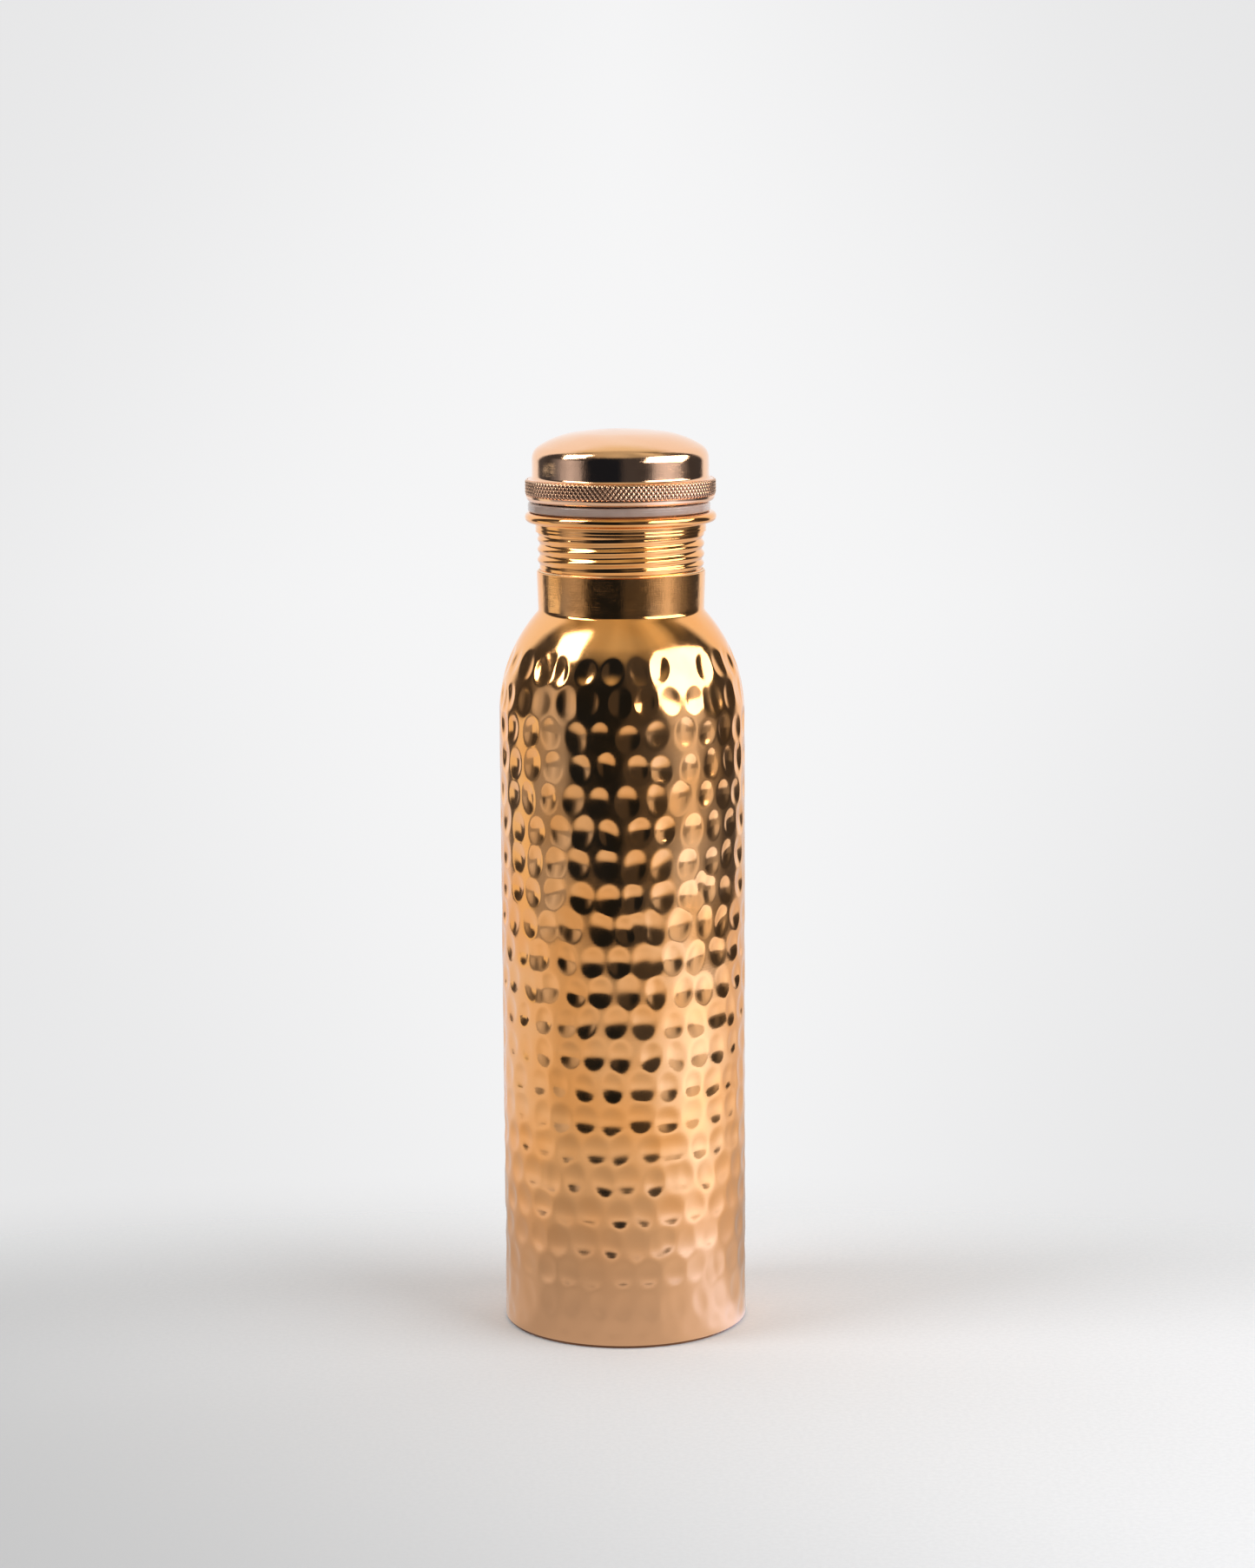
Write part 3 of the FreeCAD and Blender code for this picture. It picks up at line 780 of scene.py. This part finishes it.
class Nodes:
    """A short way to build a node tree: each call adds a node and returns its output."""

    def __init__(self, tree):
        self.tree = tree
        tree.nodes.clear()

    def add(self, kind, inputs=None, **settings):
        """Adds a node and returns the node itself."""
        node = self.tree.nodes.new(kind)
        for key, value in settings.items():
            setattr(node, key, value)
        for key, value in (inputs or {}).items():
            self.set(node.inputs[key], value)
        return node

    def set(self, socket, value):
        if isinstance(value, bpy.types.NodeSocket):
            self.tree.links.new(value, socket)
        else:
            socket.default_value = value

    def place(self):
        return self.add("ShaderNodeTexCoord").outputs["Object"]

    def split(self, vector):
        """A vector's x, y and z."""
        return tuple(self.add("ShaderNodeSeparateXYZ", {0: vector}).outputs)

    def math(self, operation, *values):
        node = self.add("ShaderNodeMath", operation=operation)
        for i, value in enumerate(values):
            self.set(node.inputs[i], value)
        return node.outputs[0]

    def distance(self, across, along):
        """Distance from the origin of two coordinates."""
        squares = [self.math("POWER", value, 2.0) for value in (across, along)]
        return self.math("SQRT", self.math("ADD", *squares))

    def azimuth(self, x, y):
        """Degrees around the bottle: 0 towards the camera and 90 to its right."""
        return self.math("DEGREES", self.math("ARCTAN2", x, self.math("MULTIPLY", y, -1.0)))

    def spread(self, value, low, high, out_low=0.0, out_high=1.0, smooth_ends=True):
        """Maps low to out_low and high to out_high, and holds the ends."""
        kind = "SMOOTHSTEP" if smooth_ends else "LINEAR"
        node = self.add("ShaderNodeMapRange", interpolation_type=kind)
        for i, number in enumerate((value, low, high, out_low, out_high)):
            self.set(node.inputs[i], number)
        return node.outputs[0]

    def blend(self, share, first, second):
        """From the first colour to the second."""
        node = self.add("ShaderNodeMix", data_type="RGBA")
        self.set(node.inputs[0], share)
        self.set(node.inputs[6], first)
        self.set(node.inputs[7], second)
        return node.outputs[2]

    def choose(self, share, first, second):
        """From the first shader to the second."""
        return self.add("ShaderNodeMixShader", {0: share, 1: first, 2: second}).outputs[0]

    def ramp(self, value, stops):
        """Colours at chosen azimuths, in degrees from -180 to 180, with smooth steps between."""
        node = self.add("ShaderNodeValToRGB", {0: self.spread(value, -180, 180, smooth_ends=False)})
        node.color_ramp.interpolation = "EASE"
        elements = node.color_ramp.elements
        while len(elements) < len(stops):
            elements.new(0.5)
        for element, (degrees, tint) in zip(elements, stops):
            element.position = (degrees + 180) / 360
            element.color = tint
        return node.outputs[0]

    def noise(self, vector, scale, detail=2.0, roughness=0.5):
        inputs = {"Vector": vector, "Scale": scale, "Detail": detail, "Roughness": roughness}
        return self.add("ShaderNodeTexNoise", inputs).outputs["Fac"]

    def bump(self, height, depth, strength=1.0):
        """A normal from a height. The depth of one unit of height is in millimetres."""
        inputs = {"Strength": strength, "Distance": depth * MM, "Height": height}
        return self.add("ShaderNodeBump", inputs).outputs[0]


def new_material(name):
    """A material and the Nodes of its tree, still empty."""
    material = bpy.data.materials.new(name)
    material.use_nodes = True
    return material, Nodes(material.node_tree)


def lathe_vector(nodes, place, scales):
    """A place scaled by one number around the piece and by another along its outline."""
    around, along = scales
    x, y, height = nodes.split(place)
    outline = nodes.math("SUBTRACT", height, nodes.distance(x, y))
    scaled = nodes.add("ShaderNodeCombineXYZ", {
        0: nodes.math("MULTIPLY", x, around),
        1: nodes.math("MULTIPLY", y, around),
        2: nodes.math("MULTIPLY", outline, along),
    })
    return scaled.outputs[0]


def polishing_lines(nodes, place, smears):
    """Height of fine lines around the piece and coarser ones along it, worn off in smears."""
    around = nodes.noise(lathe_vector(nodes, place, LINES_AROUND), 1.0, 3.0, 0.6)
    along = nodes.noise(lathe_vector(nodes, place, LINES_ALONG), 1.0, 2.0, 0.5)
    lines = nodes.math("ADD", around, nodes.math("MULTIPLY", along, 1.2))
    return nodes.math("MULTIPLY", lines, nodes.spread(smears, 0.35, 0.62, 0.25, 1.0))


def copper(name, tones, roughness, lines, foot=None, brushed_from=None, crest=False):
    """Polished copper: two tones in slow patches, fine polishing lines and grain, and uneven gloss.

    lines is the depth of the polishing lines in millimetres. foot is the colour near the bottle's foot,
    a painted reflection of the shaded table there, and the roughness added there. The lines are deeper above
    brushed_from, a height in metres.
    With crest, the knurl's grooves are darker and duller.
    """
    material, nodes = new_material(name)
    place = nodes.place()
    height = nodes.split(place)[2]
    patches = nodes.noise(place, PATCH_SCALE, 3.0, 0.55)
    smears = nodes.noise(place, SMEAR_SCALE, 3.0, 0.6)
    base = nodes.blend(nodes.spread(patches, 0.35, 0.65), *tones)
    uneven = nodes.spread(smears, 0.3, 0.7, -0.25 * roughness, 0.35 * roughness)
    rough = nodes.math("ADD", uneven, roughness)
    if foot:
        # painted reflection: the shaded table near the foot, as a pinker tone
        painted_foot_reflection = nodes.spread(height, *FOOT_FADE)
        base = nodes.blend(painted_foot_reflection, base, foot[0])
        rough = nodes.math("ADD", rough, nodes.math("MULTIPLY", painted_foot_reflection, foot[1]))
    if crest:
        worn = nodes.add("ShaderNodeAttribute", attribute_name="crest").outputs["Fac"]
        base = nodes.blend(nodes.spread(worn, 0.85, 0.15), base, GROOVE_BROWN)
        rough = nodes.math("ADD", rough, nodes.spread(worn, 0.8, 0.1, 0.0, 0.25))
    scratches = polishing_lines(nodes, place, smears)
    if brushed_from:
        deeper = nodes.spread(height, brushed_from, brushed_from + BRUSHED_FADE, 1.0, BRUSHED_DEPTH)
        scratches = nodes.math("MULTIPLY", scratches, deeper)
    grain = nodes.math("MULTIPLY", nodes.noise(place, GRAIN_SCALE), 0.6)
    shader = nodes.add("ShaderNodeBsdfPrincipled", {
        "Base Color": base,
        "Metallic": 1.0,
        "Roughness": rough,
        "Normal": nodes.bump(nodes.math("ADD", scratches, grain), lines),
    })
    nodes.add("ShaderNodeOutputMaterial", {0: shader.outputs[0]})
    return material


def silicone():
    """Milky translucent silicone with a faint mottle; its brownish pink tone is partly its own and partly
    painted reflection of the copper around it.
    """
    material, nodes = new_material("silicone")
    place = nodes.place()
    mottle = nodes.spread(nodes.noise(place, 220.0, 4.0, 0.6), 0.3, 0.7)
    grain = nodes.noise(place, 2600.0, 3.0, 0.5)
    shader = nodes.add("ShaderNodeBsdfPrincipled", {
        "Base Color": nodes.blend(mottle, *MILKY),
        "Roughness": nodes.spread(mottle, 0.0, 1.0, 0.13, 0.21),
        "Subsurface Weight": 0.2,
        "Subsurface Radius": (0.003, 0.002, 0.0015),
        "Subsurface Scale": 1.0,
        "Normal": nodes.bump(grain, 0.02, 0.5),
    })
    nodes.add("ShaderNodeOutputMaterial", {0: shader.outputs[0]})
    return material


def paint(piece, material):
    piece.data.materials.clear()
    piece.data.materials.append(material)


# Studio


def cool(light):
    return colour(light, 1.06 * light, 1.25 * light)


def warm(light):
    return colour(light, 0.92 * light, 0.66 * light)


def level(light):
    return colour(light, light, light)


def towards(azimuth, elevation, reach):
    """A point seen from the bottle's shoulder. Azimuth 0 is towards the camera and 90 to its right."""
    azimuth = math.radians(azimuth)
    elevation = math.radians(elevation)
    flat = math.cos(elevation)
    way = Vector((math.sin(azimuth) * flat, -math.cos(azimuth) * flat, math.sin(elevation)))
    return EYE_OF_STUDIO + reach * way


def low_walls(nodes, azimuth):
    """The room a little below eye level."""
    return nodes.ramp(azimuth, [
        (-180, cool(0.06)), (-125, cool(0.10)), (-83, cool(0.34)), (-58, cool(0.30)),
        (-44, cool(0.05)), (-40, DARK), (-4, DARK), (8, cool(0.06)), (30, cool(0.08)),
        (43, cool(0.26)), (56, cool(0.36)), (62, cool(0.72)), (71, cool(0.78)),
        (78, cool(0.36)), (99, cool(0.22)), (112, cool(0.08)), (180, cool(0.06)),
    ])


def level_walls(nodes, azimuth):
    """The room at eye level: a bright window on each side and darkness in front."""
    return nodes.ramp(azimuth, [
        (-180, cool(0.06)), (-125, cool(0.07)), (-106, cool(0.05)), (-92, cool(0.16)),
        (-79, cool(0.45)), (-68, cool(0.60)), (-57, cool(0.44)), (-47, cool(0.06)),
        (-41, DARK), (-4, DARK), (8, cool(0.055)), (32, cool(0.05)), (38, cool(0.10)),
        (47, cool(0.54)), (57, cool(0.74)), (67, cool(0.80)), (79, cool(0.60)),
        (90, cool(0.14)), (102, cool(0.05)), (180, cool(0.05)),
    ])


def ceiling(nodes, azimuth, elevation):
    """The upper walls by azimuth, and one tone straight above."""
    upper_walls = nodes.ramp(azimuth, [
        (-180, warm(0.85)), (-120, warm(0.80)), (-107, warm(0.55)), (-93, warm(0.26)),
        (-80, warm(0.38)), (-60, warm(0.50)), (-28, warm(0.50)), (-10, warm(0.58)), (8, warm(0.52)),
        (26, warm(0.42)), (36, warm(0.46)), (46, warm(0.58)), (60, warm(0.74)), (70, warm(0.72)),
        (78, warm(0.50)), (90, warm(0.16)), (104, warm(0.30)), (121, warm(0.70)), (180, warm(0.85)),
    ])
    return nodes.blend(nodes.spread(elevation, 66, 84), upper_walls, warm(0.52))


def lit_strip(nodes, azimuth, elevation):
    """1 in a strip low on the left, slightly behind the bottle."""
    strip = nodes.math("MULTIPLY", nodes.spread(azimuth, -123, -117), nodes.spread(azimuth, -92, -98))
    return nodes.math("MULTIPLY", strip, nodes.spread(elevation, -4, -7))


def back_wall(nodes, azimuth, elevation):
    """1 on the wall behind the bottle, which reaches further round the higher it is."""
    behind = nodes.math("ABSOLUTE", azimuth)
    behind = nodes.math("ADD", behind, nodes.math("MULTIPLY", elevation, 0.5))
    return nodes.math("MULTIPLY", nodes.spread(behind, 127, 137), nodes.spread(elevation, 66, 50))


def reflected_room(nodes, azimuth, elevation):
    """Walls in three heights, a lit strip, dark sides above the windows and a white wall behind."""
    low = low_walls(nodes, azimuth)
    room = nodes.blend(nodes.spread(elevation, -8.5, -6.5), low, level_walls(nodes, azimuth))
    room = nodes.blend(lit_strip(nodes, azimuth, elevation), room, STRIP_CREAM)
    from_front = nodes.spread(nodes.math("ABSOLUTE", azimuth), 40, 46)
    dark_sides = nodes.math("MULTIPLY", nodes.spread(elevation, 14, 20), from_front)
    room = nodes.blend(dark_sides, room, cool(0.05))
    room = nodes.blend(nodes.spread(elevation, 34, 54), room, ceiling(nodes, azimuth, elevation))
    return nodes.blend(back_wall(nodes, azimuth, elevation), room, WALL_WHITE)


def pale_backdrop(nodes, azimuth, elevation):
    """What the camera sees behind the bottle: pale grey, with painted light that makes it a little brighter
    in the middle.
    """
    aside = nodes.math("SUBTRACT", 180.0, nodes.math("ABSOLUTE", azimuth))
    above = nodes.math("ABSOLUTE", nodes.math("ADD", elevation, 6.0))
    off_centre = nodes.math("ADD", nodes.math("ABSOLUTE", aside), nodes.math("MULTIPLY", above, 0.5))
    return nodes.blend(nodes.spread(off_centre, 2, 15), *BACKDROP_TONES)


def studio_world():
    """A plain room for the polished metal to reflect. The camera itself sees only a backdrop."""
    world = bpy.data.worlds.new("studio")
    bpy.context.scene.world = world
    world.use_nodes = True
    nodes = Nodes(world.node_tree)
    x, y, z = nodes.split(nodes.add("ShaderNodeTexCoord").outputs["Generated"])
    azimuth = nodes.azimuth(x, y)
    elevation = nodes.math("DEGREES", nodes.math("ARCSINE", z))
    seen = nodes.add("ShaderNodeLightPath").outputs["Is Camera Ray"]
    room = reflected_room(nodes, azimuth, elevation)
    view = nodes.blend(seen, room, pale_backdrop(nodes, azimuth, elevation))
    shade = nodes.add("ShaderNodeBackground", {0: view, 1: 1.0})
    nodes.add("ShaderNodeOutputWorld", {0: shade.outputs[0]})


def softbox(name, corners, reach, strength):
    """A lit card, which the camera doesn't see. Its corners are azimuths and elevations."""
    points = [towards(azimuth, elevation, reach) for azimuth, elevation in corners]
    card = make_piece(name, np.array(points), [(0, 1, 2, 3)])
    material, nodes = new_material(name)
    light = nodes.add("ShaderNodeEmission", {0: LAMP_WHITE, 1: strength})
    nodes.add("ShaderNodeOutputMaterial", {0: light.outputs[0]})
    paint(card, material)
    card.visible_camera = False


def studio_lights():
    softbox("left_softbox", [(-91, 44), (-55, 60), (-53, 38), (-80, 21)], 1.15, 8.0)
    softbox("right_softbox", [(42, 43), (106, 27), (86, 3), (32, 10)], 0.95, 5.0)


def floor_disc():
    """A flat disc in the table's plane, made of rings."""
    vertices = [(0.0, 0.0, 0.0)]
    for radius in FLOOR_RINGS:
        for j in range(AROUND_FLOOR):
            angle = TURN * j / AROUND_FLOOR
            vertices.append((radius * math.cos(angle), radius * math.sin(angle), 0.0))
    faces = [(0, 1 + j, 1 + (j + 1) % AROUND_FLOOR) for j in range(AROUND_FLOOR)]
    for i in range(len(FLOOR_RINGS) - 1):
        low = 1 + i * AROUND_FLOOR
        high = low + AROUND_FLOOR
        for j in range(AROUND_FLOOR):
            k = (j + 1) % AROUND_FLOOR
            faces.append((low + j, high + j, high + k, low + k))
    return make_piece("floor", np.array(vertices), faces)


def paper_seen(nodes, place, clear):
    """What the camera sees: pale paper that melts into the backdrop, with painted shade that darkens it at
    the front left.
    """
    x, y, _ = nodes.split(place)
    fibres = nodes.spread(nodes.noise(place, 700.0, 3.0), 0.3, 0.7)
    base = nodes.blend(fibres, *PAPER_TONES)
    # painted shade: the paper darkens towards the front left
    painted_front_left_shade = nodes.spread(nodes.math("ADD", x, nodes.math("MULTIPLY", y, 0.8)), 0.02, -0.36)
    base = nodes.blend(painted_front_left_shade, base, PAPER_SHADE)
    paper = nodes.add("ShaderNodeBsdfDiffuse", {0: base}).outputs[0]
    sideways = nodes.math("MULTIPLY", x, 0.55)
    forward = nodes.math("ADD", y, 0.14)
    solid = nodes.spread(nodes.distance(sideways, forward), 0.31, 0.17)
    return nodes.choose(solid, clear, paper)


def table_reflected(nodes, place, clear):
    """What the metal reflects: a table top with edges that glows with painted light, brighter towards the
    right softbox, with painted shade near the bottle and towards the front.
    """
    x, y, _ = nodes.split(place)
    light = nodes.ramp(nodes.azimuth(x, y), [
        (-180, level(0.75)), (-135, level(0.80)), (-83, level(0.78)), (-58, level(0.62)),
        (-31, level(0.68)), (-6, level(0.74)), (18, level(0.78)), (43, level(1.0)),
        (71, level(1.4)), (99, level(0.98)), (129, level(0.74)), (180, level(0.75)),
    ])
    away = nodes.distance(x, y)
    # painted shadow: the glow is dimmer close to the bottle
    falloff = nodes.spread(away, 0.08, 0.32, 0.66, 1.02)
    falloff = nodes.math("ADD", falloff, nodes.spread(away, 0.11, 0.04, 0.0, 0.10))
    light = nodes.math("MULTIPLY", light, falloff)
    # painted shade: the glow is dimmer towards the table's front
    near_front = nodes.spread(y, TABLE_FRONT, TABLE_FRONT + 0.24, 0.5, 1.0)
    light = nodes.math("MULTIPLY", light, near_front)
    tint = nodes.blend(nodes.spread(light, 0.65, 1.15), *TABLE_TONES)
    shine = nodes.add("ShaderNodeEmission", {0: tint, 1: light}).outputs[0]
    front = nodes.spread(y, TABLE_FRONT - TABLE_FRONT_BLUR, TABLE_FRONT + TABLE_FRONT_BLUR)
    left = nodes.spread(x, TABLE_LEFT - TABLE_SIDE_BLUR, TABLE_LEFT + TABLE_SIDE_BLUR)
    right = nodes.spread(x, TABLE_RIGHT + TABLE_SIDE_BLUR, TABLE_RIGHT - TABLE_SIDE_BLUR)
    inside = nodes.math("MULTIPLY", front, nodes.math("MULTIPLY", left, right))
    return nodes.choose(inside, clear, shine)


def studio_floor():
    """A pale table top. To the eye it melts into the backdrop; in reflections it has edges."""
    floor = floor_disc()
    material, nodes = new_material("floor")
    place = nodes.place()
    seen = nodes.add("ShaderNodeLightPath").outputs["Is Camera Ray"]
    clear = nodes.add("ShaderNodeBsdfTransparent").outputs[0]
    both = nodes.choose(seen, table_reflected(nodes, place, clear), paper_seen(nodes, place, clear))
    nodes.add("ShaderNodeOutputMaterial", {0: both})
    paint(floor, material)


def camera():
    """Looks slightly down at the bottle from about a metre."""
    data = bpy.data.cameras.new("camera")
    data.lens = CAMERA_LENS
    data.sensor_width = CAMERA_SENSOR
    data.clip_start = 0.05
    data.clip_end = 50.0
    eye = bpy.data.objects.new("camera", data)
    bpy.context.scene.collection.objects.link(eye)
    look_down = Matrix.Rotation(math.radians(90 - CAMERA_DOWN), 4, "X")
    tilt = Matrix.Rotation(math.radians(CAMERA_TILT), 4, "Z")
    eye.matrix_world = Matrix.Translation(CAMERA_PLACE) @ look_down @ tilt
    bpy.context.scene.camera = eye


# Assembly

camera()
studio_world()
studio_lights()
studio_floor()
bpy.context.scene.view_settings.view_transform = "Standard"
bpy.context.scene.view_settings.look = "None"

collar_foot = collar_fillet()[0][1] * MM
# the pink at the foot is painted reflection of the shaded table
hammered = copper(
    "hammered_copper", GOLDEN, roughness=0.11, lines=0.0025, foot=(FOOT_REFLECTION_PINK, 0.05), brushed_from=collar_foot
)
polished = copper("polished_copper", GOLDEN, roughness=0.09, lines=0.005)
rosy = copper("rosy_copper", ROSE, roughness=0.09, lines=0.014)
knurled = copper("knurled_copper", ROSE, roughness=0.14, lines=0.002, crest=True)
# the base plate's dark copper is painted contact shadow at the foot
contact_shade_copper = copper("painted_contact_shadow", CONTACT_SHADOW_TONES, roughness=0.30, lines=0.01)
filler = copper("braze", FILLER, roughness=0.28, lines=0.02)
rubber = silicone()

PIECES = [
    (hammered_body, "bottle", "body_shell", "hammered_copper", hammered),
    (neck, "bottle", "neck_ferrule", "plain_copper", polished),
    (neck_braze, "bottle", "neck_braze_ring", "braze", filler),
    (seal, "seal", "seal_ring", "silicone", rubber),
    (grip_ring, "cap", "cap_grip_ring", "knurled_copper", knurled),
    (dome, "cap", "cap_dome", "plain_copper", rosy),
    (plug, "cap", "cap_plug", "plain_copper", polished),
]
for make, body, node, slot, material in PIECES:
    piece = make()
    paint(piece, material)
    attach(piece, body)
    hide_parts(node)

for node, material in {
    # painted contact shadow: the dark base plate
    "base_plate": contact_shade_copper,
    "base_braze_ring": filler,
    "plug_braze_ring": filler,
    "dome_braze_ring": filler,
}.items():
    paint(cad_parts[node], material)
